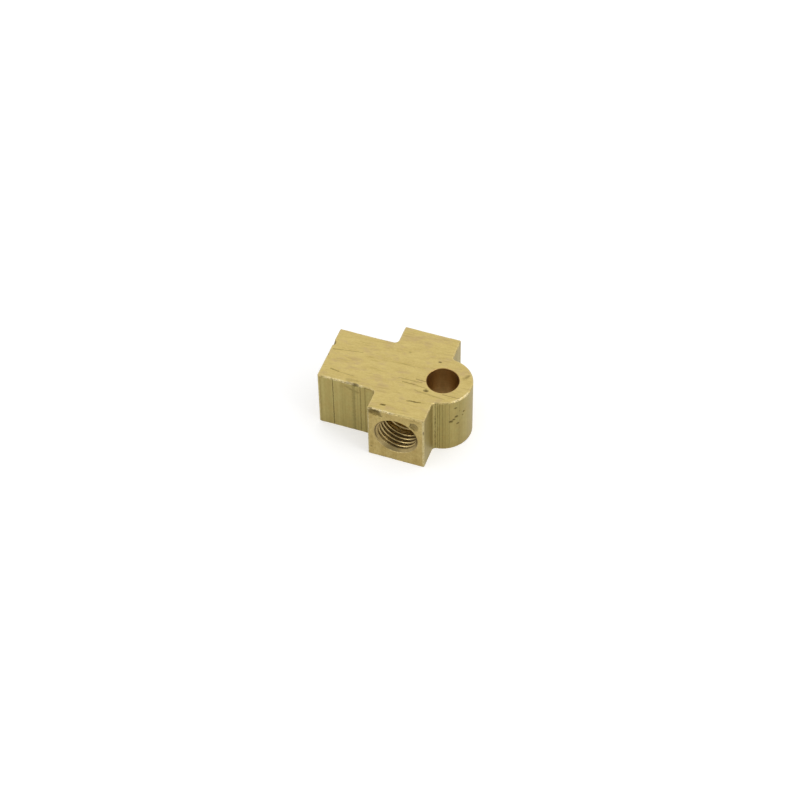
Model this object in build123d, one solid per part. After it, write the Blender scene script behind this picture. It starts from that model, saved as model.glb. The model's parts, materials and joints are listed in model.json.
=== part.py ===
from build123d import *
import os
from math import radians, tan

# Female tee fitting: one solid block of brass, a slice sawn from cross-shaped extruded bar.
# Three tapped ports meet in the middle of it. Two face each other along Y, the run, and the third
# looks along -X, the branch. Opposite the branch a rounded boss carries a plain bolt hole.
# The frame stands on the lower sawn face, under the point where the three port axes cross,
# with +X towards the boss and +Z up through the bolt hole. Lengths are in millimetres.

# The bar, and the slice that is sawn from it
slice_thickness = 14.9
run_length = 24.6
run_width = 12.7
branch_reach = 19.5
branch_width = 14.3
boss_radius = 6.45
branch_corner_radius = 1.0
boss_corner_radius = 0.9
bar_edge_radius = 0.35
sawn_edge_break = 0.2

# The plain bolt hole through the boss
bolt_hole_diameter = 7.0

# The ports, tapped 3/8-24 for the nut of a flared 3/16 inch tube
port_height = 7.75
tap_drill_diameter = 8.45
mouth_diameter = 9.9
port_depth = 8.2
seat_base_diameter = 6.4
seat_nose_diameter = 4.0
seat_half_angle = 42.0
passage_diameter = 3.2

# The form tool that cuts the seat is narrower than the tap drill, which stops just short
# of the seat's nose
trough_diameter = 7.4
trough_floor_radius = 0.5
drill_stop_above_nose = 0.1

# The boss and its bolt hole are centred on the run's side
half_run_width = run_width / 2
boss_centre = half_run_width


def corners_at(section, x, y):
    """The section's two corners at x, one at y and one at -y."""
    return [v for v in section.vertices() if Vector(v.X, abs(v.Y)) == Vector(x, y)]


def bar_section():
    """The cross that the bar is extruded to, seen from above, with its corners rounded by the die."""
    run = Rectangle(run_width, run_length)
    branch = Rectangle(branch_reach, branch_width, align=(Align.MAX, Align.CENTER))
    boss = Pos(boss_centre, 0) * Circle(boss_radius)
    section = run + branch + boss
    section = fillet(corners_at(section, half_run_width, boss_radius), boss_corner_radius)
    section = fillet(corners_at(section, -half_run_width, branch_width / 2), branch_corner_radius)

    for x, y in (
        (-half_run_width, run_length / 2),
        (half_run_width, run_length / 2),
        (-branch_reach, branch_width / 2),
    ):
        section = fillet(corners_at(section, x, y), bar_edge_radius)
    return section


def sawn_block():
    """A slice of the bar, with the sharp edges of both sawn faces broken."""
    block = extrude(bar_section(), slice_thickness)
    lower, upper = block.faces().sort_by(Axis.Z)[0], block.faces().sort_by(Axis.Z)[-1]
    sharp = lower.outer_wire().edges() + upper.outer_wire().edges()
    return chamfer(sharp, sawn_edge_break)


def port_tool():
    """What one port takes out of the metal: a countersunk mouth at z = 0, the tap drill's hole, and
    below it a trough round a cone left standing, the seat that the tube's flare is pressed on."""
    bore_radius = tap_drill_diameter / 2
    mouth_radius = mouth_diameter / 2
    trough_radius = trough_diameter / 2
    base_radius = seat_base_diameter / 2
    nose_radius = seat_nose_diameter / 2
    seat_height = (base_radius - nose_radius) / tan(radians(seat_half_angle))
    nose_level = seat_height - port_depth
    drill_level = nose_level + drill_stop_above_nose
    outline = Polyline(
        (0, 0),
        (mouth_radius, 0),
        (bore_radius, bore_radius - mouth_radius),
        (bore_radius, drill_level),
        (trough_radius, drill_level - (bore_radius - trough_radius)),
        (trough_radius, -port_depth),
        (base_radius, -port_depth),
        (nose_radius, nose_level),
        (0, nose_level),
        close=True,
    )
    profile = make_face(outline)
    floor_corner = profile.vertices().sort_by(Axis.Y)[:2].sort_by(Axis.X)[-1]
    profile = fillet(floor_corner, min(trough_floor_radius, 0.9 * (trough_radius - base_radius)))
    return revolve(Plane.XZ * profile, Axis.Z)


def passages():
    """The two drillings that join the seats: one right along the run, one in from the branch."""
    radius = passage_diameter / 2
    along_run = Cylinder(radius, run_length, rotation=(90, 0, 0))
    from_branch = Cylinder(
        radius, branch_reach, rotation=(0, -90, 0), align=(Align.CENTER, Align.CENTER, Align.MIN)
    )
    return Pos(0, 0, port_height) * (along_run + from_branch)


def tee_body():
    """The block with its bolt hole, its three ports and the passages between them."""
    bolt_hole = extrude(Pos(boss_centre, 0) * Circle(bolt_hole_diameter / 2), slice_thickness)
    body = sawn_block() - bolt_hole
    for outward, distance in (
        ((0, -1, 0), run_length / 2),
        ((0, 1, 0), run_length / 2),
        ((-1, 0, 0), branch_reach),
    ):
        mouth = Vector(*outward) * distance + Vector(0, 0, port_height)
        body -= Plane(origin=mouth, z_dir=outward) * port_tool()
    return body - passages()


os.makedirs("parts", exist_ok=True)
export_step(tee_body(), "parts/tee_body.step")
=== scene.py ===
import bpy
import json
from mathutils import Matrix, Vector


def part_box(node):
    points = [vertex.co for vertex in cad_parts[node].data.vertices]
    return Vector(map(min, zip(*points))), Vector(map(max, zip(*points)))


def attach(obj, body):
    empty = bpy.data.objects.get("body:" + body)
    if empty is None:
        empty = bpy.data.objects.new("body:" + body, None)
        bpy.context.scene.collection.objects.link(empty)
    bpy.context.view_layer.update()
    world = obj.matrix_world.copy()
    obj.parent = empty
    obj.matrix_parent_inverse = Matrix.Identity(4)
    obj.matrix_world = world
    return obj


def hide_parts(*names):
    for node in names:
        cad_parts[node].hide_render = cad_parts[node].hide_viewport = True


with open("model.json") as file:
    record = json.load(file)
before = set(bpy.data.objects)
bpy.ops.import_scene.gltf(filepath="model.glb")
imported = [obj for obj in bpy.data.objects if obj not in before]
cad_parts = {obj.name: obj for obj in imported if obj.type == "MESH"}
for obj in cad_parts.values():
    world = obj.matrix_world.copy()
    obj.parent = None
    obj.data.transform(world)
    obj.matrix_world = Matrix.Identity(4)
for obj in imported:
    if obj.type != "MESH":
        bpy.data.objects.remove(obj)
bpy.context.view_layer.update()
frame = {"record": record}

import json
from math import ceil, cos, pi, radians, sin, tan

import bmesh
import bpy
import numpy as np
from mathutils import Matrix, Vector
from mathutils.geometry import delaunay_2d_cdt

# The tee body. It is one block of brass: a slice sawn from bar that was extruded to the shape of a
# cross, with three tapped ports and a drilled bolt hole. Lengths here are in millimetres up to the
# point where the mesh is made, and its faces are told apart by how they were cut.

mm = 0.001
mounts = {mount["name"]: mount for mount in frame["record"]["mounts"]}
lowest, highest = (np.round(np.array(corner) / mm, 3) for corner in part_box("tee_body"))

slice_thickness = highest[2]
run_half_length = highest[1]
branch_reach = -lowest[0]
boss_centre = mounts["bolt_hole"]["pos_m"][0] / mm
boss_radius = highest[0] - boss_centre
run_half_width = boss_centre
branch_half_width = 7.15
boss_corner_radius = 0.9
branch_corner_radius = 1.0
bar_edge_radius = 0.35

edge_spacing = 0.14
face_spacing = 0.32
inside_with_holes = 2
arc_step = radians(15)


def bar_outline():
    """The cross seen from above, walked anticlockwise from where the boss's round end begins: straight
    runs joined by arcs, each arc a turn of the heading at its own radius. Gives the points, their
    outward normals, the distance walked to each, and 1 where the outline is at one of the bar's
    sharp edges. The first point comes again at the end."""
    # The boss's corner arc touches the run's side and the boss's round end from outside both.
    reach = boss_radius + boss_corner_radius
    corner_turn = np.degrees(np.arccos(boss_corner_radius / reach))
    corner_y = np.sqrt(reach**2 - boss_corner_radius**2)
    arm_end = run_half_length - bar_edge_radius
    arm_outside = arm_end - corner_y
    arm_inside = arm_end - branch_half_width - branch_corner_radius
    across_arm = 2 * (run_half_width - bar_edge_radius)
    branch_side = branch_reach - run_half_width - branch_corner_radius - bar_edge_radius
    across_branch = 2 * (branch_half_width - bar_edge_radius)
    straights = (0, arm_outside, across_arm, arm_inside, branch_side)
    turns = (-corner_turn, 90, 90, -90, 90)
    radii = (boss_corner_radius, bar_edge_radius, bar_edge_radius, branch_corner_radius, bar_edge_radius)
    walk = [(0, 2 * corner_turn, boss_radius)]
    walk += zip(straights, turns, radii)
    walk += zip((across_branch,) + straights[:0:-1], turns[::-1], radii[::-1])

    heading = pi / 2 - radians(corner_turn)
    at = np.array([boss_centre + boss_radius * sin(heading), -boss_radius * cos(heading)])
    walked = 0.0
    points, normals, distances, sharp = [], [], [], []
    for straight, turn, radius in walk:
        if straight > 0:
            along = np.linspace(0, straight, ceil(straight / edge_spacing), endpoint=False)
            forward = np.array([cos(heading), sin(heading)])
            points.append(at + along[:, None] * forward)
            normals.append(np.tile([sin(heading), -cos(heading)], (len(along), 1)))
            distances.append(walked + along)
            sharp.append(0 * along)
            at = at + straight * forward
            walked += straight
        turn = radians(turn)
        steps = ceil(abs(turn) * max(radius / edge_spacing, 1 / arc_step))
        headings = heading + np.linspace(0, turn, steps + 1)
        outward = np.stack([np.sin(headings), -np.cos(headings)], 1)
        arc = at + np.sign(turn) * radius * (outward - outward[0])
        points.append(arc[:-1])
        normals.append(outward[:-1])
        distances.append(walked + np.linspace(0, abs(turn) * radius, steps, endpoint=False))
        sharp.append(np.full(steps, float(radius == bar_edge_radius)))
        at, heading, walked = arc[-1], headings[-1], walked + abs(turn) * radius
    points.append(points[0][:1])
    normals.append(normals[0][:1])
    distances.append([walked])
    sharp.append([0.0])
    return [np.concatenate(column) for column in (points, normals, distances, sharp)]


outline, outline_normal, outline_distance, outline_sharp = bar_outline()


def on_skin(distance, height, inward=0.0):
    """The point of the bar's skin at a distance walked round the outline and a height, moved inward."""
    x, y, normal_x, normal_y = (
        np.interp(distance, outline_distance, column)
        for column in (*outline.T, *outline_normal.T)
    )
    return np.stack([x - inward * normal_x, y - inward * normal_y, height + 0 * x], -1)


def circle(centre, radius, count):
    """Points evenly spaced round a circle, anticlockwise from its right."""
    turn = np.arange(count) * 2 * pi / count
    return np.array(centre) + radius * np.stack([np.cos(turn), np.sin(turn)], 1)


def ripple(along, across=0.0):
    """A wavy value from 0 to 1 that doesn't seem to repeat: three sines whose lengths have no common
    measure, shifted by a second coordinate."""
    waves = np.sin(along * 9.7 + across * 5.1) + np.sin(along * 4.3 - across * 7.3 + 1.0)
    waves = waves + 0.7 * np.sin(along * 21.1 + across * 13.0 + 2.0)
    return 0.5 + waves / 5.4


def grid_faces(rows, columns):
    """Four-cornered faces between the neighbouring points of a grid, row after row, with the last
    column joined to the first."""
    row, column = np.mgrid[: rows - 1, :columns]
    right = (column + 1) % columns
    corners = (row * columns + column, row * columns + right)
    corners += (corners[1] + columns, corners[0] + columns)
    return np.stack([corner.ravel() for corner in corners], 1)


def filled(border, holes, loose_points):
    """Triangles that fill a flat region between its border and its holes, all closed loops walked
    anticlockwise, with the loose points joined in."""
    points = [Vector(point) for point in np.concatenate([border, *holes, loose_points])]
    loops, first = [list(range(len(border)))], len(border)
    for hole in holes:
        loops.append(list(range(first + len(hole) - 1, first - 1, -1)))
        first += len(hole)
    found, _, faces, *_ = delaunay_2d_cdt(points, [], loops, inside_with_holes, 1e-5)
    return np.array(found), np.array(faces)


shells = []


def add_shell(points, faces, finish, worn=0.0, dirt_and_shade=0.0, cut_along=0.0):
    """Keeps one stretch of surface until all are joined: its points, its faces and their finish, and for
    each point how worn it is, how much dirt and painted shade darken it, from 0 to 1, and how far along the drill's
    axis it lies."""
    columns = [np.broadcast_to(np.ravel(values), len(points)) for values in (worn, dirt_and_shade, cut_along)]
    shells.append((points, faces, finish, *columns))


# Knocks in the block, from handling and from lying loose among others: pits in the sawn face and the
# boss, chips out of the sharp edges, and two dents in the front port's face. Each one is
# an ellipsoid that pushes the surface in, most at its middle.

knock_spacing = 0.1
strong_knock = 0.14
port_face, branch_front = -run_half_length, -branch_half_width


def on_boss(angle, height):
    """The point of the boss's round end at an angle in degrees from +X and a height."""
    outward = np.array([cos(radians(angle)), sin(radians(angle)), 0])
    return np.array([boss_centre, 0, height]) + boss_radius * outward, outward


# Each has its middle, its half sizes along X, Y and Z, and the push at its middle.
knocks = [
    ((4.1, 4.8, slice_thickness), (0.42, 0.22, 0.3), (0, 0, -0.14)),
    ((3.86, -3.85, slice_thickness), (0.66, 0.4, 0.3), (0, 0, -0.22)),
    ((-2.9, 5.4, slice_thickness), (0.4, 0.26, 0.3), (0, 0, -0.05)),
    ((-3.4, -10.45, slice_thickness), (0.6, 0.22, 0.3), (0, 0, -0.14)),
    ((2.4, -7.6, slice_thickness), (1.3, 0.16, 0.3), (0, 0, -0.12)),
    ((10.86, 2.6, slice_thickness), (0.5, 0.7, 0.3), (0, 0, -0.04)),
    ((-branch_reach, 2.9, slice_thickness), (0.55, 0.75, 0.75), (0.36, 0, -0.36)),
    ((-branch_reach, -0.75, slice_thickness), (0.25, 0.36, 0.35), (0.16, 0, -0.16)),
    ((-10.9, branch_front, 14.75), (0.95, 0.5, 0.5), (0, 0.26, -0.2)),
    ((-12.4, branch_front, slice_thickness), (0.9, 0.3, 0.25), (0, 0.12, -0.12)),
    ((-8.0, branch_front, 14.5), (0.9, 0.4, 0.2), (0, 0.08, 0)),
    ((-4.7, port_face, 13.85), (1.65, 0.6, 1.0), (0, 0.42, 0)),
    ((-5.6, port_face, slice_thickness), (0.6, 0.3, 0.35), (0, 0.16, -0.1)),
    ((4.05, port_face, 12.35), (0.9, 0.5, 1.05), (0, 0.1, 0)),
    ((run_half_width, port_face, 11.0), (0.3, 0.3, 0.8), (-0.16, 0.16, 0)),
    ((-5.6, port_face, 2.7), (0.3, 0.3, 0.25), (0, 0.07, 0)),
]
for angle, height, half_size, depth in (
    (-46.4, 12.7, 0.36, 0.14),
    (-27.6, 10.5, 0.36, 0.14),
    (-31.0, 9.6, 0.26, 0.1),
    (-44.5, 9.9, 0.5, 0.18),
    (-50.0, 9.2, 0.42, 0.14),
    (-55.5, 8.7, 0.55, 0.2),
    (-41.5, 7.6, 0.42, 0.14),
    (-38.0, 11.4, 0.22, 0.08),
):
    pit, outward = on_boss(angle, height)
    knocks.append((tuple(pit), (half_size, half_size, 0.7 * half_size), tuple(-depth * outward)))


def knock_depth(points):
    """How deep in a knock each point lies, from 0 at its rim to 1 at the middle of a strong one, and how
    far it is pushed. The rim wanders in and out, so that no two knocks have the same shape."""
    deepest, pushed = np.zeros(len(points)), np.zeros_like(points)
    for middle, half_sizes, push in knocks:
        away = (points - middle) / half_sizes
        wander = 0.75 + 0.5 * ripple(points[:, 0] + points[:, 2], points[:, 1] - points[:, 2])
        depth = np.clip(1 - (away**2).sum(1) * wander, 0, 1)
        strength = min(1.0, np.linalg.norm(push) / strong_knock)
        deepest = np.maximum(deepest, strength * depth**0.5)
        pushed += depth[:, None] * np.array(push)
    return deepest, pushed


def knock_points(flat_middles):
    """Close-set points over the knocks of one flat region, given each one's middle and reach in it."""
    patches = [np.zeros((0, 2))]
    for middle, reach in flat_middles:
        steps = np.arange(-reach, reach + knock_spacing, knock_spacing)
        patch = np.stack(np.meshgrid(steps, steps), -1).reshape(-1, 2)
        patches.append(patch[np.hypot(*patch.T) <= reach] + middle)
    return np.concatenate(patches)


# The ports: three holes drilled, countersunk and tapped 3/8-24 right-handed, each with a seat left
# standing at its floor. The tap was run about 5 mm deep, and its tapered lead cut the last turn
# shallower. Past it the drill's plain wall shows, then a trough round the seat.

port_height = mounts["front_port"]["pos_m"][2] / mm
tap_drill_radius = mounts["front_port"]["dims"]["r_mm"]
mouth_radius = 4.95
thread_radius = 9.525 / 2
thread_pitch = 25.4 / 24
full_thread_depth = 4.6
tap_lead = 0.9
port_depth = 8.2
trough_radius = 3.7
trough_floor_radius = 0.45
seat_base_radius = 3.2
seat_nose_radius = 2.0
seat_half_angle = radians(42)
passage_radius = 1.6
drill_stop_above_nose = 0.1
nose_depth = port_depth - (seat_base_radius - seat_nose_radius) / tan(seat_half_angle)
drill_depth = nose_depth - drill_stop_above_nose
drill_step_depth, drill_step = 6.1, 0.25
drill_tip_half_angle = radians(59)

port_columns = 96
thread_rows = 96
port_turn = np.arange(port_columns) * 2 * pi / port_columns


def softly_larger(a, b, softness):
    """The larger of two values, with the corner where they cross rounded off."""
    return (a + b + np.sqrt((a - b) ** 2 + softness**2)) / 2


def tapped_radius(depth, turn, start):
    """Radius of the wall at a depth and a turn anticlockwise as seen from outside. Grooves with 60 degree
    flanks lie a pitch apart and go one pitch deeper in each clockwise turn. The countersink
    cuts them off at the mouth, and the tap's lead makes them shallower at the end."""
    from_crest = thread_pitch * np.abs((depth / thread_pitch + turn / (2 * pi) + start) % 1 - 0.5)
    from_root = thread_pitch / 2 - from_crest
    root_half_width = thread_pitch / 16
    groove = thread_radius - softly_larger(0, from_root - root_half_width, 0.03) / tan(radians(30))
    lead = thread_radius - (depth - full_thread_depth) * (thread_radius - tap_drill_radius) / tap_lead
    tapped = softly_larger(np.minimum(groove, lead), tap_drill_radius, 0.05)
    countersunk = mouth_radius - depth
    return softly_larger(tapped, countersunk, 0.02)


def walked_profile(corners, spacing, tight):
    """Points along a line through the corners, each corner cut by a tiny step so that it shades sharp."""
    corners = np.array(corners, float)
    stops = [corners[0]]
    for before, corner, after in zip(corners, corners[1:], corners[2:]):
        for other in (before, after):
            away = other - corner
            length = np.linalg.norm(away)
            stops.append(corner + away * min(tight, length / 3) / length)
    stops.append(corners[-1])
    line = []
    for a, b in zip(stops, stops[1:]):
        steps = max(1, ceil(np.linalg.norm(b - a) / spacing))
        line.append(a + np.linspace(0, 1, steps, endpoint=False)[:, None] * (b - a))
    return np.concatenate(line + [stops[-1:]])


def port_profile_below_thread():
    """Depth and radius from the end of the thread down to the seat's nose and its passage. A first
    drilling, a hair wider, left the step in the wall."""
    floor_turn = np.linspace(0, pi / 2, 5)
    floor_corner = np.stack(
        [
            port_depth - trough_floor_radius * (1 - np.sin(floor_turn)),
            trough_radius - trough_floor_radius * (1 - np.cos(floor_turn)),
        ],
        1,
    )
    corners = [
        (full_thread_depth + tap_lead, tap_drill_radius),
        (drill_step_depth, tap_drill_radius),
        (drill_step_depth + drill_step / tan(drill_tip_half_angle), tap_drill_radius - drill_step),
        (drill_depth + drill_step, tap_drill_radius - drill_step),
        (drill_depth + tap_drill_radius - trough_radius, trough_radius),
        *floor_corner,
        (port_depth, seat_base_radius),
        (nose_depth, seat_nose_radius),
        (nose_depth, passage_radius),
        (nose_depth + 0.2, passage_radius),
    ]
    return walked_profile(corners, 0.4, 0.02)


def add_port(mouth, outward, thread_start, passage_end):
    """The whole of one port, from its mouth to where its passage meets the others. passage_end gives the
    depth of that meeting for the cosine of each turn."""
    across = np.cross(-np.array(outward), (0, 0, 1.0))

    def add_turned(depth, radius, worn=0.0, dirt_and_shade=0.0):
        turn = port_turn + 0 * depth
        points = (
            np.array(mouth)
            - depth[..., None] * np.array(outward)
            + (radius * np.cos(turn))[..., None] * across
            + (radius * np.sin(turn))[..., None] * np.array((0, 0, 1.0))
        )
        add_shell(points.reshape(-1, 3), grid_faces(*depth.shape), "cut", worn, dirt_and_shade, depth)

    depth = np.linspace(0, full_thread_depth + tap_lead, thread_rows)[:, None] + 0 * port_turn
    radius = tapped_radius(depth, port_turn, thread_start)
    radius[0] = mouth_radius
    radius[-1] = tap_drill_radius
    groove = (radius - tap_drill_radius) / (thread_radius - tap_drill_radius)
    # The thread is darkened towards the roots of its grooves, partly dirt and partly painted shade, and the
    # countersink is darkened by half: painted shade.
    add_turned(depth, radius, 0.0, np.where(depth < mouth_radius - radius + 0.05, 0.5, groove**2))

    depth, radius = port_profile_below_thread().T[:, :, None] + 0 * port_turn
    add_turned(depth, radius)

    passage_start = depth[-1, 0]
    share = np.linspace(0, 1, 8)[:, None]
    depth = passage_start + share * (passage_end(np.cos(port_turn)) - passage_start)
    add_turned(depth, passage_radius + 0 * depth)


# A run port's passage ends half way along the run, and where the branch's passage comes in from the
# side it ends sooner. The three share one radius, so they meet on flat curves.
add_port(
    (0, -run_half_length, port_height), (0, -1, 0), 0.22,
    lambda c: run_half_length - passage_radius * np.maximum(0, -c),
)
add_port(
    (0, run_half_length, port_height), (0, 1, 0), 0.55,
    lambda c: run_half_length - passage_radius * np.maximum(0, c),
)
add_port(
    (-branch_reach, 0, port_height), (-1, 0, 0), 0.8,
    lambda c: branch_reach - passage_radius * np.abs(c),
)

# The bolt hole: drilled straight through the boss after sawing, its rims barely broken.

bolt_hole_radius = mounts["bolt_hole"]["dims"]["r_mm"]
bolt_rim = 0.12
bolt_columns = 120


def add_bolt_hole():
    """A profile turned about the hole's axis: a quarter round at each rim and a plain wall between."""
    rim_turn = np.linspace(0, pi / 2, 4)
    rim_radius = bolt_hole_radius + bolt_rim * (1 - np.sin(rim_turn))
    rim_drop = bolt_rim * (1 - np.cos(rim_turn))
    wall_height = np.linspace(bolt_rim, slice_thickness - bolt_rim, 30)[1:-1]
    heights = np.concatenate([rim_drop, wall_height, slice_thickness - rim_drop[::-1]])
    radii = np.concatenate([rim_radius, bolt_hole_radius + 0 * wall_height, rim_radius[::-1]])
    rings = [
        np.column_stack([circle((boss_centre, 0), radius, bolt_columns), np.full(bolt_columns, height)])
        for radius, height in zip(radii, heights)
    ]
    points = np.concatenate(rings)
    add_shell(points, grid_faces(len(rings), bolt_columns), "drilled", cut_along=points[:, 2])


add_bolt_hole()

# The bar's skin, all round the outline between the two sawn faces. It came straight from the die, and
# only the three ends that the ports were cut into were faced.

sawn_edge_break = 0.2
worn_band = 0.25
skin_low, skin_high = sawn_edge_break, slice_thickness - sawn_edge_break
end_half_widths = [run_half_width - bar_edge_radius] * 2 + [branch_half_width - bar_edge_radius]


def distance_at(x, y):
    """How far round the outline the point of it nearest to x, y lies."""
    nearest = np.hypot(*(outline[:-1] - (x, y)).T).argmin()
    normal_x, normal_y = outline_normal[nearest]
    return outline_distance[nearest] + (np.array((x, y)) - outline[nearest]) @ (-normal_y, normal_x)


mouths = [
    (distance_at(x, y), port_height)
    for x, y in ((0, -run_half_length), (0, run_half_length), (-branch_reach, 0))
]

# Where the saw left a burr along the edge, from one point of the outline to the next.
burrs = [
    ((-17.8, branch_front), (-9.4, branch_front)),
    ((-6.2, port_face), (-0.5, port_face)),
    (on_boss(-52, 0)[0][:2], on_boss(-14, 0)[0][:2]),
    ((4.0, run_half_length), (-3.0, run_half_length)),
    ((-9.0, branch_half_width), (-16.0, branch_half_width)),
]


def burr_at(distance):
    """How rough the sawn edge is at a distance round the outline: 1 along a burr and 0.25 clear of it."""
    stretches = [(distance_at(*start), distance_at(*end)) for start, end in burrs]
    reach = [np.minimum(distance - start, end - distance) for start, end in stretches]
    return 0.25 + 0.75 * np.clip(0.5 + np.max(reach, 0), 0, 1)


def add_skin():
    """The skin unrolled: distance round the outline against height, with a round hole for each mouth."""
    levels = np.linspace(
        skin_low + worn_band, skin_high - worn_band, ceil((skin_high - skin_low) / face_spacing)
    )
    levels = np.concatenate([[skin_low], levels, [skin_high]])
    walked, end = outline_distance[:-1], outline_distance[-1]
    border = np.concatenate(
        [
            np.column_stack([walked, np.full(len(walked), skin_low)]),
            np.column_stack([np.full(len(levels) - 1, end), levels[:-1]]),
            np.column_stack([outline_distance[:0:-1], np.full(len(walked), skin_high)]),
            np.column_stack([np.zeros(len(levels) - 1), levels[:0:-1]]),
        ]
    )
    # Every second column of points goes right up the skin, and all do round the bar's sharp edges.
    columns = walked[(outline_sharp[:-1] > 0) | (np.arange(len(walked)) % 2 == 0)][1:]
    inner = np.stack(np.meshgrid(columns, levels[1:-1]), -1).reshape(-1, 2)
    dense = knock_points(
        ((distance_at(x, y), z), max(half_sizes) + knock_spacing)
        for (x, y, z), half_sizes, _ in knocks
        if np.hypot(*(outline - (x, y)).T).min() < edge_spacing
    )
    dense = dense[(dense[:, 1] > skin_low + 0.05) & (dense[:, 1] < skin_high - 0.05)]
    inner = np.concatenate([inner, dense])
    to_mouth = np.min([np.hypot(*(inner - mouth).T) for mouth in mouths], 0) - mouth_radius
    rings = [circle(mouth, mouth_radius + 0.05, port_columns) for mouth in mouths]
    mouth_loops = [circle(mouth, mouth_radius, port_columns) for mouth in mouths]
    points, faces = filled(border, mouth_loops, np.concatenate([inner[to_mouth > 0.2], *rings]))
    middles = points[faces].mean(1)
    faced = np.any(
        [np.abs(middles[:, 0] - mouth[0]) < half for mouth, half in zip(mouths, end_half_widths)], 0
    )
    to_sawn = np.minimum(points[:, 1] - skin_low, skin_high - points[:, 1])
    worn = np.clip(1 - to_sawn / worn_band, 0, 1) * burr_at(points[:, 0])
    worn = np.maximum(worn, 0.4 * np.interp(points[:, 0], outline_distance, outline_sharp))
    placed = on_skin(points[:, 0], points[:, 1])
    add_shell(placed, faces[~faced], "skin", worn)
    add_shell(placed, faces[faced], "faced", worn)


add_skin()

# The two sawn faces, and the narrow rounded edges that join them to the skin. The saw left those
# edges ragged, so their round wanders in and out.

edge_rows = 4
ragged_depth = 0.16


def inside(points, loop):
    """Which points a closed loop goes round: a ray from each along +X crosses it an odd number of times."""
    start_x, start_y = loop.T
    end_x, end_y = np.roll(loop, -1, 0).T
    x, y = points.T[..., None]
    spans = (start_y > y) != (end_y > y)
    slope = (end_x - start_x) / np.where(end_y == start_y, 1, end_y - start_y)
    return (spans & (x < start_x + (y - start_y) * slope)).sum(1) % 2 == 1


def add_sawn_face(height, upward):
    """One sawn face: a level sheet inside the outline, with a round hole for the bolt, and round it a
    quarter round that the raggedness pushes in, most half way between the sheet and the skin."""
    walked = outline_distance[:-1]
    rim_radius = bolt_hole_radius + bolt_rim
    border = on_skin(walked, 0.0, sawn_edge_break)[:, :2]
    worn_line = on_skin(walked[::2], 0.0, sawn_edge_break + worn_band)[:, :2]
    rim = circle((boss_centre, 0), rim_radius, bolt_columns)
    worn_rim = circle((boss_centre, 0), rim_radius + worn_band, bolt_columns)
    x = np.arange(lowest[0], highest[0], face_spacing)
    y = np.arange(lowest[1], highest[1], face_spacing)
    dense = knock_points(
        ((x, y), max(half_sizes) + knock_spacing)
        for (x, y, z), half_sizes, _ in knocks
        if abs(z - height) < half_sizes[2]
    )
    inner = np.concatenate([np.stack(np.meshgrid(x, y), -1).reshape(-1, 2), dense])
    to_rim = np.hypot(inner[:, 0] - boss_centre, inner[:, 1]) - rim_radius
    inner = inner[inside(inner, worn_line) & (to_rim > worn_band + 0.1)]
    points, faces = filled(border, [rim], np.concatenate([inner, worn_line, worn_rim]))
    worn = np.zeros(len(points))
    worn[: len(border)] = burr_at(walked)
    add_shell(np.column_stack([points, np.full(len(points), height)]), faces, "sawn", worn)

    rows, worn, dirt_and_shade = [], [], []
    for t in np.linspace(0, pi / 2, edge_rows + 1):
        ragged = ragged_depth * sin(2 * t) * ripple(walked, 3 * t + height) * burr_at(walked)
        drop = sawn_edge_break * (1 - sin(t)) + ragged
        rows.append(on_skin(walked, height - upward * drop, sawn_edge_break * (1 - cos(t)) + ragged))
        worn.append(burr_at(walked) * (1 - 0.5 * cos(t)))
        dirt_and_shade.append(cos(t) ** 2 * ripple(0.6 * walked, 5.0))
    strip = np.concatenate(rows)
    add_shell(strip, grid_faces(len(rows), len(walked)), "sawn", np.concatenate(worn), np.concatenate(dirt_and_shade))


add_sawn_face(slice_thickness, 1)
add_sawn_face(0.0, -1)

# All the stretches make one closed mesh. Its three attributes tell the materials where edges are rubbed
# bright, where the surface is darkened, by dirt and by painted shade in the thread's grooves and the countersinks,
# and how far along its axis a drill was.

finishes = ["sawn", "skin", "faced", "cut", "drilled"]


def joined_body():
    """One mesh in metres of all the stretches, with the knocks pushed in and the points on their shared
    borders made one."""
    points = np.concatenate([shell[0] for shell in shells])
    worn, dirt_and_shade, cut_along = (np.concatenate([shell[k] for shell in shells]) for k in (3, 4, 5))
    knocked, pushed = knock_depth(points)
    points = points + pushed
    # Knocks are darkened as well, most at their middles and more the deeper they are pushed.
    dirt_and_shade = np.maximum(dirt_and_shade, knocked)
    faces, kinds, first = [], [], 0
    for shell_points, shell_faces, finish, *_ in shells:
        faces += (shell_faces + first).tolist()
        kinds += [finishes.index(finish)] * len(shell_faces)
        first += len(shell_points)
    mesh = bpy.data.meshes.new("tee_body_dressed")
    mesh.from_pydata(points * mm, [], faces)
    mesh.polygons.foreach_set("material_index", kinds)
    for name, values in (("worn", worn), ("dirt_and_shade", dirt_and_shade), ("cut_along", cut_along)):
        mesh.attributes.new(name, "FLOAT", "POINT").data.foreach_set("value", values)
    joined = bmesh.new()
    joined.from_mesh(mesh)
    bmesh.ops.remove_doubles(joined, verts=joined.verts, dist=1e-7)
    bmesh.ops.recalc_face_normals(joined, faces=joined.faces)
    open_edges = sum(not edge.is_manifold for edge in joined.edges)
    print("open edges", open_edges, "tris", sum(len(f.verts) - 2 for f in joined.faces),
          "volume", joined.calc_volume() / mm**3)
    joined.to_mesh(mesh)
    joined.free()
    mesh.polygons.foreach_set("use_smooth", [True] * len(mesh.polygons))
    return mesh


body_mesh = joined_body()
body = bpy.data.objects.new("tee_body_dressed", body_mesh)
bpy.context.collection.objects.link(body)
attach(body, "root")
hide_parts("tee_body")

# The brass and its five finishes. They share three patterns: grain, a cloudy value that can be drawn
# out along any axis, mark, a ragged line or spot between two points, and wear, which rubs edges bright
# and darkens knocks and grooves, with dirt and, in the thread's grooves and the countersinks, painted shade.


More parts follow.
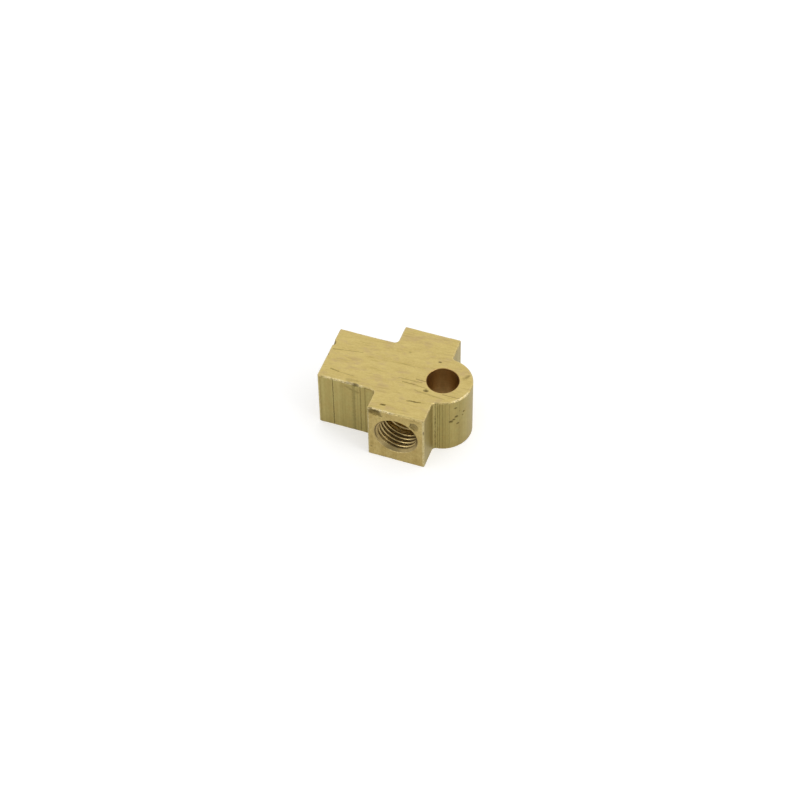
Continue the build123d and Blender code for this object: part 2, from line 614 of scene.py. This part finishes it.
def add_node(tree, kind, sockets, **settings):
    """Adds a node with its settings. Each input named or numbered in sockets gets a value or a wire."""
    node = tree.nodes.new(kind)
    for name, value in settings.items():
        setattr(node, name, value)
    for name, value in sockets.items():
        if isinstance(value, bpy.types.NodeSocket):
            tree.links.new(value, node.inputs[name])
        else:
            node.inputs[name].default_value = value
    return node


def calculate(tree, operation, *values, clamp=False):
    """The result of one sum on values or wires."""
    sockets = dict(enumerate(values))
    return add_node(tree, "ShaderNodeMath", sockets, operation=operation, use_clamp=clamp).outputs[0]


def blend(tree, share, first, second):
    """A colour between two, by a share from 0 to 1."""
    sockets = {0: share, 6: first, 7: second}
    return add_node(tree, "ShaderNodeMix", sockets, data_type="RGBA").outputs[2]


def new_group(name, inputs, outputs):
    """An empty node group with named sockets: its tree, its inputs as wires, and its output node."""
    tree = bpy.data.node_groups.new(name, "ShaderNodeTree")
    for socket_name, kind in inputs.items():
        tree.interface.new_socket(socket_name, in_out="INPUT", socket_type=kind)
    for socket_name, kind in outputs.items():
        tree.interface.new_socket(socket_name, in_out="OUTPUT", socket_type=kind)
    return tree, tree.nodes.new("NodeGroupInput").outputs, tree.nodes.new("NodeGroupOutput")


def use_group(tree, group, sockets):
    """One copy of a group placed in a material."""
    return add_node(tree, "ShaderNodeGroup", sockets | {}, node_tree=group)


def make_grain():
    """Noise over coordinates divided by the size of one grain, stretched so that Low gives 0 and High 1."""
    inputs = {
        "Coordinates": "NodeSocketVector",
        "Grain Size": "NodeSocketVector",
        "Low": "NodeSocketFloat",
        "High": "NodeSocketFloat",
    }
    tree, given, result = new_group("grain", inputs, {"Value": "NodeSocketFloat"})
    scaled = add_node(
        tree, "ShaderNodeVectorMath", {0: given["Coordinates"], 1: given["Grain Size"]}, operation="DIVIDE"
    )
    noise = add_node(
        tree, "ShaderNodeTexNoise", {"Vector": scaled.outputs[0], "Scale": 1.0, "Detail": 3.0, "Roughness": 0.6}
    )
    value = add_node(
        tree, "ShaderNodeMapRange", {"Value": noise.outputs[0], "From Min": given["Low"], "From Max": given["High"]}
    )
    tree.links.new(value.outputs[0], result.inputs["Value"])
    return tree


def make_mark():
    """Strength on the line from Start to End, falling to 0 at Half Width from it. Noise shifts the
    coordinates first, so the line is ragged."""
    inputs = {
        "Coordinates": "NodeSocketVector",
        "Start": "NodeSocketVector",
        "End": "NodeSocketVector",
        "Half Width": "NodeSocketFloat",
        "Strength": "NodeSocketFloat",
    }
    tree, given, result = new_group("mark", inputs, {"Value": "NodeSocketFloat"})

    def vector_sum(operation, *values):
        node = add_node(tree, "ShaderNodeVectorMath", dict(enumerate(values)), operation=operation)
        return node.outputs[1] if operation in ("DOT_PRODUCT", "LENGTH") else node.outputs[0]

    noise = add_node(tree, "ShaderNodeTexNoise", {"Vector": given["Coordinates"], "Scale": 1800.0, "Detail": 2.0})
    shift = vector_sum("SUBTRACT", noise.outputs["Color"], (0.5, 0.5, 0.5))
    scale = add_node(
        tree, "ShaderNodeVectorMath", {0: shift, "Scale": calculate(tree, "MULTIPLY", given["Half Width"], 1.6)},
        operation="SCALE",
    ).outputs[0]
    at = vector_sum("ADD", given["Coordinates"], scale)
    along = vector_sum("SUBTRACT", given["End"], given["Start"])
    away = vector_sum("SUBTRACT", at, given["Start"])
    length_squared = calculate(tree, "ADD", vector_sum("DOT_PRODUCT", along, along), 1e-12)
    share = calculate(tree, "DIVIDE", vector_sum("DOT_PRODUCT", away, along), length_squared, clamp=True)
    foot = add_node(tree, "ShaderNodeVectorMath", {0: along, "Scale": share}, operation="SCALE").outputs[0]
    distance = vector_sum("LENGTH", vector_sum("SUBTRACT", away, foot))
    fall = add_node(
        tree,
        "ShaderNodeMapRange",
        {"Value": distance, "From Min": given["Half Width"], "From Max": 0.0, "To Max": given["Strength"]},
        interpolation_type="SMOOTHSTEP",
    )
    tree.links.new(fall.outputs[0], result.inputs["Value"])
    return tree


grain = make_grain()


def grains(tree, coordinates, size_mm, low=0.0, high=1.0):
    """One copy of the grain pattern, its size in millimetres along X, Y and Z."""
    sockets = {
        "Coordinates": coordinates,
        "Grain Size": tuple(size * mm for size in size_mm),
        "Low": low,
        "High": high,
    }
    return use_group(tree, grain, sockets).outputs[0]


def make_wear():
    """Brighter, smoother and rougher-edged metal by the attribute worn, broken up by noise, and dark dull
    metal by the darkening attribute, which stands for dirt and for painted shade. Colour, roughness and height pass
    through where both are 0."""
    sockets = {"Color": "NodeSocketColor", "Roughness": "NodeSocketFloat", "Height": "NodeSocketFloat"}
    tree, given, result = new_group("wear", {"Coordinates": "NodeSocketVector"} | sockets, sockets)
    worn = add_node(tree, "ShaderNodeAttribute", {}, attribute_name="worn").outputs["Fac"]
    dirt_and_shade = add_node(tree, "ShaderNodeAttribute", {}, attribute_name="dirt_and_shade").outputs["Fac"]
    flakes = grains(tree, given["Coordinates"], (0.45, 0.45, 0.45), 0.38, 0.62)
    specks = grains(tree, given["Coordinates"], (0.16, 0.16, 0.16), 0.3, 0.7)
    rubbed = calculate(tree, "MULTIPLY", worn, calculate(tree, "MULTIPLY_ADD", flakes, 0.8, 0.2))
    dirt_and_shade_share = calculate(tree, "MULTIPLY", dirt_and_shade, calculate(tree, "MULTIPLY_ADD", specks, 0.4, 0.6))
    colour = blend(tree, rubbed, given["Color"], (0.92, 0.8, 0.5, 1))
    # The near black is dirt, and painted shade where the thread's grooves and the countersinks are darkened.
    colour = blend(tree, calculate(tree, "MULTIPLY", dirt_and_shade_share, 0.92), colour, (0.055, 0.036, 0.008, 1))
    roughness = calculate(tree, "MULTIPLY_ADD", rubbed, -0.15, given["Roughness"])
    roughness = calculate(tree, "MULTIPLY_ADD", dirt_and_shade_share, 0.15, roughness)
    rough_edge = calculate(tree, "MULTIPLY", calculate(tree, "POWER", worn, 2.0), flakes)
    height = calculate(tree, "MULTIPLY_ADD", rough_edge, 9.0, given["Height"])
    height = calculate(tree, "MULTIPLY_ADD", calculate(tree, "MULTIPLY", dirt_and_shade, specks), 3.0, height)
    tree.links.new(colour, result.inputs["Color"])
    tree.links.new(roughness, result.inputs["Roughness"])
    tree.links.new(height, result.inputs["Height"])
    return tree


mark = make_mark()
wear = make_wear()


def marks(tree, coordinates, drawn):
    """The strongest of several marks, each with its start, end, half width in millimetres and strength."""
    strongest = 0.0
    for start, end, half_width, strength in drawn:
        sockets = {
            "Coordinates": coordinates,
            "Start": tuple(value * mm for value in start),
            "End": tuple(value * mm for value in end),
            "Half Width": half_width * mm,
            "Strength": strength,
        }
        one = use_group(tree, mark, sockets).outputs[0]
        strongest = calculate(tree, "MAXIMUM", strongest, one)
    return strongest


def new_brass(name):
    """An empty brass material: its tree, its shader and the object's own coordinates."""
    material = bpy.data.materials.new(name)
    material.use_nodes = True
    tree = material.node_tree
    shader = tree.nodes["Principled BSDF"]
    shader.inputs["Metallic"].default_value = 1.0
    body_mesh.materials.append(material)
    return tree, shader, tree.nodes.new("ShaderNodeTexCoord").outputs["Object"]


def finish_brass(tree, shader, coordinates, colour, roughness, height, relief_mm):
    """Puts the wear over a finish and wires it to the shader. A height of 1 stands relief_mm proud."""
    sockets = {"Coordinates": coordinates, "Color": colour, "Roughness": roughness, "Height": height}
    worn = use_group(tree, wear, sockets)
    bump = add_node(tree, "ShaderNodeBump", {"Height": worn.outputs["Height"], "Distance": relief_mm * mm})
    tree.links.new(worn.outputs["Color"], shader.inputs["Base Color"])
    tree.links.new(worn.outputs["Roughness"], shader.inputs["Roughness"])
    tree.links.new(bump.outputs[0], shader.inputs["Normal"])


# Sawn brass: bright and even, with fine streaks across the slice where the blade went, a little
# slanted, and warm stains where the metal has begun to dull.

saw_slant = radians(-5)


def make_sawn_brass():
    tree, shader, coordinates = new_brass("sawn_brass")
    turned = add_node(
        tree, "ShaderNodeVectorRotate", {"Vector": coordinates, "Angle": saw_slant}, rotation_type="Z_AXIS"
    ).outputs[0]
    clouds = grains(tree, turned, (4.5, 1.6, 3.0), 0.35, 0.65)
    stains = grains(tree, turned, (2.6, 1.3, 2.0), 0.5, 0.68)
    mottle = grains(tree, turned, (1.1, 0.45, 1.0), 0.32, 0.68)
    streaks = grains(tree, turned, (3.2, 0.28, 2.0), 0.55, 0.7)
    fine = grains(tree, turned, (1.0, 0.14, 2.0), 0.3, 0.7)
    specks = grains(tree, coordinates, (0.36, 0.3, 0.3), 0.35, 0.65)
    top = slice_thickness
    scratches = marks(tree, coordinates, [
        ((1.0, -7.8, top), (3.9, -7.45, top), 0.2, 0.9),
        ((-3.9, -10.6, top), (-2.9, -10.35, top), 0.25, 0.8),
        ((-18.9, 1.0, top), (-16.8, 1.4, top), 0.22, 0.6),
        ((-16.8, 1.4, top), (-12.4, 2.05, top), 0.16, 0.45),
        ((-17.4, -4.4, top), (-15.4, -4.75, top), 0.26, 0.6),
        ((-15.4, -4.75, top), (-12.0, -4.95, top), 0.18, 0.35),
        ((-2.7, -2.2, top), (2.3, -2.05, top), 0.3, 0.4),
        ((-1.6, -3.0, top), (1.0, -3.0, top), 0.25, 0.6),
        ((1.0, -3.0, top), (3.9, -3.3, top), 0.2, 0.4),
        ((0.9, -1.4, top), (3.2, -1.5, top), 0.2, 0.6),
        ((1.6, -4.5, top), (8.3, -5.0, top), 0.3, 0.35),
        ((7.6, -3.8, top), (11.4, -3.75, top), 0.22, 0.5),
        ((10.4, 2.0, top), (11.2, 3.0, top), 0.55, 0.45),
        ((-13.0, -6.3, top), (-10.6, -6.0, top), 0.6, 0.3),
        ((-3.4, 1.8, top), (-0.6, 1.7, top), 0.25, 0.25),
    ])
    colour = blend(tree, clouds, (0.72, 0.57, 0.21, 1), (0.655, 0.51, 0.18, 1))
    colour = blend(tree, calculate(tree, "MULTIPLY", mottle, 0.5), colour, (0.60, 0.455, 0.15, 1))
    colour = blend(tree, calculate(tree, "MULTIPLY", specks, 0.3), colour, (0.82, 0.67, 0.3, 1))
    colour = blend(tree, calculate(tree, "MULTIPLY", stains, 0.6), colour, (0.6, 0.44, 0.215, 1))
    colour = blend(tree, calculate(tree, "MULTIPLY", streaks, 0.35), colour, (0.36, 0.26, 0.06, 1))
    colour = blend(tree, scratches, colour, (0.19, 0.125, 0.02, 1))
    roughness = calculate(tree, "MULTIPLY_ADD", clouds, 0.08, 0.36)
    height = calculate(tree, "MULTIPLY_ADD", specks, 0.7, fine)
    height = calculate(tree, "SUBTRACT", height, calculate(tree, "MULTIPLY", streaks, 0.8))
    height = calculate(tree, "SUBTRACT", height, calculate(tree, "MULTIPLY", scratches, 2.0))
    finish_brass(tree, shader, coordinates, colour, roughness, height, 0.006)


# Extruded brass: the bar's skin, dull olive with tarnish and drawn out into lines along the bar by
# the die, its colours set well below the sawn brass's, partly tarnish and partly painted shade on the bar's upright
# sides. The deeper lines are dark with dirt.


def make_skin_brass():
    tree, shader, coordinates = new_brass("skin_brass")
    bands = grains(tree, coordinates, (1.6, 1.6, 90.0), 0.35, 0.65)
    lines = grains(tree, coordinates, (0.34, 0.34, 50.0), 0.35, 0.65)
    deep = grains(tree, coordinates, (0.3, 0.3, 45.0), 0.6, 0.72)
    patches = grains(tree, coordinates, (1.5, 1.5, 2.4), 0.4, 0.65)
    mottle = grains(tree, coordinates, (0.5, 0.5, 0.8), 0.32, 0.68)

    def die_line(x, y, half_width, strength):
        return (x, y, -1.0), (x, y, slice_thickness + 1), half_width, strength

    def boss_line(angle, half_width, strength):
        (x, y, _), _ = on_boss(angle, 0.0)
        return die_line(x, y, half_width, strength)

    # The die lines crowd and darken towards the inner corners, by the boss and where the branch meets the run,
    # which also paints the shade in those corners.
    die_lines_and_corner_shade = marks(tree, coordinates, [
        die_line(-16.0, branch_front, 0.17, 0.85),
        die_line(-11.3, branch_front, 0.6, 0.35),
        die_line(-11.1, branch_front, 0.18, 0.5),
        die_line(-10.4, branch_front, 0.12, 0.35),
        die_line(-9.75, branch_front, 0.2, 0.55),
        die_line(-8.7, branch_front, 0.16, 0.4),
        die_line(-18.9, branch_front, 0.3, 0.25),
        die_line(-13.9, branch_front, 0.2, 0.15),
        die_line(run_half_width, -5.7, 0.2, 0.5),
        die_line(run_half_width, -6.9, 0.16, 0.35),
        boss_line(-86.0, 0.22, 0.9),
        boss_line(-81.0, 0.14, 0.6),
        boss_line(-77.5, 0.16, 0.55),
        boss_line(-72.0, 0.14, 0.45),
        boss_line(-67.0, 0.12, 0.25),
        boss_line(-59.0, 0.14, 0.4),
        boss_line(-38.0, 0.4, 0.15),
        ((-13.0, branch_front, 13.6), (-12.0, branch_front, 13.2), 0.5, 0.3),
        ((-12.0, branch_front, 13.2), (-10.3, branch_front, 12.6), 0.5, 0.45),
    ])
    # These colours, darker than the sawn brass's, are partly the skin's tarnish and partly painted shade on the
    # upright sides.
    colour = blend(tree, bands, (0.44, 0.365, 0.13, 1), (0.36, 0.29, 0.095, 1))
    colour = blend(tree, calculate(tree, "MULTIPLY", lines, 0.3), colour, (0.52, 0.44, 0.18, 1))
    colour = blend(tree, calculate(tree, "MULTIPLY", patches, 0.4), colour, (0.41, 0.29, 0.095, 1))
    colour = blend(tree, calculate(tree, "MULTIPLY", mottle, 0.3), colour, (0.29, 0.23, 0.07, 1))
    colour = blend(tree, calculate(tree, "MULTIPLY", deep, 0.35), colour, (0.16, 0.12, 0.03, 1))
    colour = blend(tree, die_lines_and_corner_shade, colour, (0.075, 0.055, 0.012, 1))
    roughness = calculate(tree, "MULTIPLY_ADD", bands, 0.08, 0.4)
    height = calculate(tree, "SUBTRACT", lines, calculate(tree, "MULTIPLY", deep, 0.8))
    height = calculate(tree, "SUBTRACT", height, calculate(tree, "MULTIPLY", die_lines_and_corner_shade, 1.5))
    finish_brass(tree, shader, coordinates, colour, roughness, height, 0.01)


# Faced brass: the three port ends, cut flat and since then mottled by handling, and set darker than the sawn brass,
# partly painted shade on these upright ends.


def make_faced_brass():
    tree, shader, coordinates = new_brass("faced_brass")
    clouds = grains(tree, coordinates, (2.4, 2.4, 2.8), 0.35, 0.65)
    mottle = grains(tree, coordinates, (0.42, 0.42, 0.55), 0.35, 0.68)
    lines = grains(tree, coordinates, (0.25, 0.25, 9.0), 0.4, 0.7)
    scratches = marks(tree, coordinates, [
        ((3.0, port_face, 14.0), (4.2, port_face, 14.35), 0.14, 0.5),
        ((4.2, port_face, 14.35), (5.5, port_face, 13.9), 0.14, 0.5),
        ((3.2, port_face, 12.4), (3.5, port_face, 13.2), 0.3, 0.85),
        ((3.5, port_face, 13.2), (4.3, port_face, 13.4), 0.25, 0.8),
        ((4.3, port_face, 13.4), (5.0, port_face, 12.6), 0.25, 0.7),
        ((3.4, port_face, 12.1), (4.4, port_face, 11.3), 0.3, 0.7),
        ((4.9, port_face, 12.3), (4.8, port_face, 11.4), 0.2, 0.5),
        ((-5.9, port_face, 13.6), (-3.2, port_face, 13.2), 0.4, 0.7),
    ])
    # These colours, darker than the sawn brass's, partly paint the shade on the upright ends.
    colour = blend(tree, clouds, (0.54, 0.42, 0.16, 1), (0.44, 0.32, 0.11, 1))
    colour = blend(tree, calculate(tree, "MULTIPLY", mottle, 0.5), colour, (0.3, 0.22, 0.06, 1))
    colour = blend(tree, calculate(tree, "MULTIPLY", lines, 0.3), colour, (0.6, 0.48, 0.2, 1))
    colour = blend(tree, scratches, colour, (0.1, 0.07, 0.02, 1))
    roughness = calculate(tree, "MULTIPLY_ADD", mottle, 0.1, 0.34)
    height = calculate(tree, "MULTIPLY_ADD", lines, 0.4, calculate(tree, "SUBTRACT", 1.0, mottle))
    finish_brass(tree, shader, coordinates, colour, roughness, height, 0.01)


# Cut brass: the threads and seats, tapped and formed, darker in the thread's grooves, partly dirt and
# partly painted shade, and painted shade on the countersinks. The bolt hole was drilled, and its wall is browner
# than the cut brass, partly tarnish and partly painted shade inside the hole, and darker along the fine rings that
# the drill left.


def tool_rings(tree, ring_width):
    """Rings round a bore: noise along the drill's axis alone."""
    cut_along = add_node(tree, "ShaderNodeAttribute", {}, attribute_name="cut_along").outputs["Fac"]
    place = add_node(tree, "ShaderNodeCombineXYZ", {"X": calculate(tree, "MULTIPLY", cut_along, mm)})
    return grains(tree, place.outputs[0], (ring_width, 1.0, 1.0), 0.3, 0.7)


def make_cut_brass():
    tree, shader, coordinates = new_brass("cut_brass")
    rings = tool_rings(tree, 0.12)
    clouds = grains(tree, coordinates, (1.2, 1.2, 1.2), 0.4, 0.7)
    colour = blend(tree, clouds, (0.60, 0.47, 0.22, 1), (0.5, 0.37, 0.15, 1))
    colour = blend(tree, calculate(tree, "MULTIPLY", rings, 0.2), colour, (0.36, 0.25, 0.09, 1))
    roughness = calculate(tree, "MULTIPLY_ADD", clouds, 0.08, 0.26)
    finish_brass(tree, shader, coordinates, colour, roughness, rings, 0.003)


def make_drilled_brass():
    tree, shader, coordinates = new_brass("drilled_brass")
    rings = tool_rings(tree, 0.3)
    clouds = grains(tree, coordinates, (1.5, 1.5, 4.0), 0.4, 0.7)
    # The wall is coloured browner than the cut brass, partly tarnish and partly painted shade inside the hole.
    colour = blend(tree, clouds, (0.68, 0.46, 0.19, 1), (0.56, 0.36, 0.12, 1))
    colour = blend(tree, calculate(tree, "MULTIPLY", rings, 0.5), colour, (0.3, 0.18, 0.05, 1))
    roughness = calculate(tree, "MULTIPLY_ADD", clouds, 0.1, 0.34)
    finish_brass(tree, shader, coordinates, colour, roughness, rings, 0.03)


for make_brass in (
    make_sawn_brass,
    make_skin_brass,
    make_faced_brass,
    make_cut_brass,
    make_drilled_brass,
):
    make_brass()

# The floor: a plain sheet of white paper that the block stands on. It glows a little of itself, more
# to the camera than in reflections, enough to come out white, so that only the deepest of the block's shadow shows.

floor_half_size = 3.0
floor_white = 0.68
floor_shine_seen, floor_shine_reflected = 0.5, 0.35
floor_mesh = bpy.data.meshes.new("floor")
floor_corners = floor_half_size * np.array([(-1, -1, 0), (1, -1, 0), (1, 1, 0), (-1, 1, 0)])
floor_mesh.from_pydata(floor_corners, [], [(0, 1, 2, 3)])
floor = bpy.data.objects.new("floor", floor_mesh)
bpy.context.collection.objects.link(floor)
paper = bpy.data.materials.new("white_paper")
paper.use_nodes = True
paper_tree = paper.node_tree
paper_shader = paper_tree.nodes["Principled BSDF"]
paper_shader.inputs["Base Color"].default_value = (floor_white, floor_white, floor_white, 1)
paper_shader.inputs["Roughness"].default_value = 0.9
paper_shader.inputs["Specular IOR Level"].default_value = 0.0
paper_shader.inputs["Emission Color"].default_value = (1, 1, 1, 1)
seen_by = paper_tree.nodes.new("ShaderNodeLightPath").outputs
mirrored = calculate(paper_tree, "MAXIMUM", seen_by["Is Glossy Ray"], seen_by["Is Transmission Ray"])
shine = calculate(paper_tree, "MULTIPLY", mirrored, floor_shine_reflected)
shine = calculate(paper_tree, "MULTIPLY_ADD", seen_by["Is Camera Ray"], floor_shine_seen, shine)
paper_tree.links.new(shine, paper_shader.inputs["Emission Strength"])
floor_mesh.materials.append(paper)

# Soft studio light: a pale room that is darker where the photographer stands, a wide low lamp in front
# that gleams in the thread, and a soft one on the right for the boss.

room_brightness, dark_side_brightness = 0.9, 0.45
dark_side = Vector((0.1, -0.68, 0.72))
world = bpy.data.worlds.new("studio")
bpy.context.scene.world = world
world.use_nodes = True
room_tree = world.node_tree
direction = room_tree.nodes.new("ShaderNodeTexCoord").outputs["Generated"]
facing = add_node(room_tree, "ShaderNodeVectorMath", {0: direction, 1: dark_side}, operation="DOT_PRODUCT")
brightness = add_node(
    room_tree,
    "ShaderNodeMapRange",
    {
        "Value": facing.outputs["Value"],
        "From Min": 0.7,
        "From Max": 0.95,
        "To Min": room_brightness,
        "To Max": dark_side_brightness,
    },
    interpolation_type="SMOOTHSTEP",
)
seen_directly = room_tree.nodes.new("ShaderNodeLightPath").outputs["Is Camera Ray"]
brightness = calculate(room_tree, "MAXIMUM", brightness.outputs[0], seen_directly)
room_tree.links.new(brightness, room_tree.nodes["Background"].inputs["Strength"])
room_tree.nodes["Background"].inputs["Color"].default_value = (1, 1, 1, 1)


def add_lamp(name, towards, distance, width, height, brightness):
    """A soft rectangle of light that faces the block from a distance. Brightness 1 looks white."""
    lamp_data = bpy.data.lights.new(name, "AREA")
    lamp_data.shape = "RECTANGLE"
    lamp_data.size, lamp_data.size_y = width, height
    lamp_data.energy = 4 * width * height * brightness
    lamp = bpy.data.objects.new(name, lamp_data)
    bpy.context.collection.objects.link(lamp)
    towards = Vector(towards).normalized()
    facing_block = towards.to_track_quat("Z", "Y").to_matrix().to_4x4()
    lamp.matrix_world = Matrix.Translation(towards * distance) @ facing_block


add_lamp("low_lamp", (-0.36, -0.93, 0.13), 0.9, 0.6, 0.18, 2.5)
add_lamp("right_lamp", (0.86, -0.15, 0.5), 0.8, 0.4, 0.4, 2.5)

# The camera stands where the photograph was taken from, a little rolled, and looks past the block's
# middle.

azimuth, elevation, roll = radians(20.278), radians(48.773), radians(-0.962)
camera_distance = 0.47646
aim_right, aim_up = 0.0032731, -0.0041616
back = np.array([sin(azimuth) * cos(elevation), -cos(azimuth) * cos(elevation), sin(elevation)])
level_right = np.array([cos(azimuth), sin(azimuth), 0])
level_up = np.cross(back, level_right)
right = cos(roll) * level_right + sin(roll) * level_up
up = cos(roll) * level_up - sin(roll) * level_right
place = camera_distance * back - aim_right * right - aim_up * up
camera_data = bpy.data.cameras.new("camera")
camera_data.sensor_width = 36
camera_data.lens = 98.52
camera = bpy.data.objects.new("camera", camera_data)
bpy.context.collection.objects.link(camera)
camera.matrix_world = Matrix([[right[k], up[k], back[k], place[k]] for k in range(3)] + [[0, 0, 0, 1]])
bpy.context.scene.camera = camera
bpy.context.scene.view_settings.view_transform = "Standard"
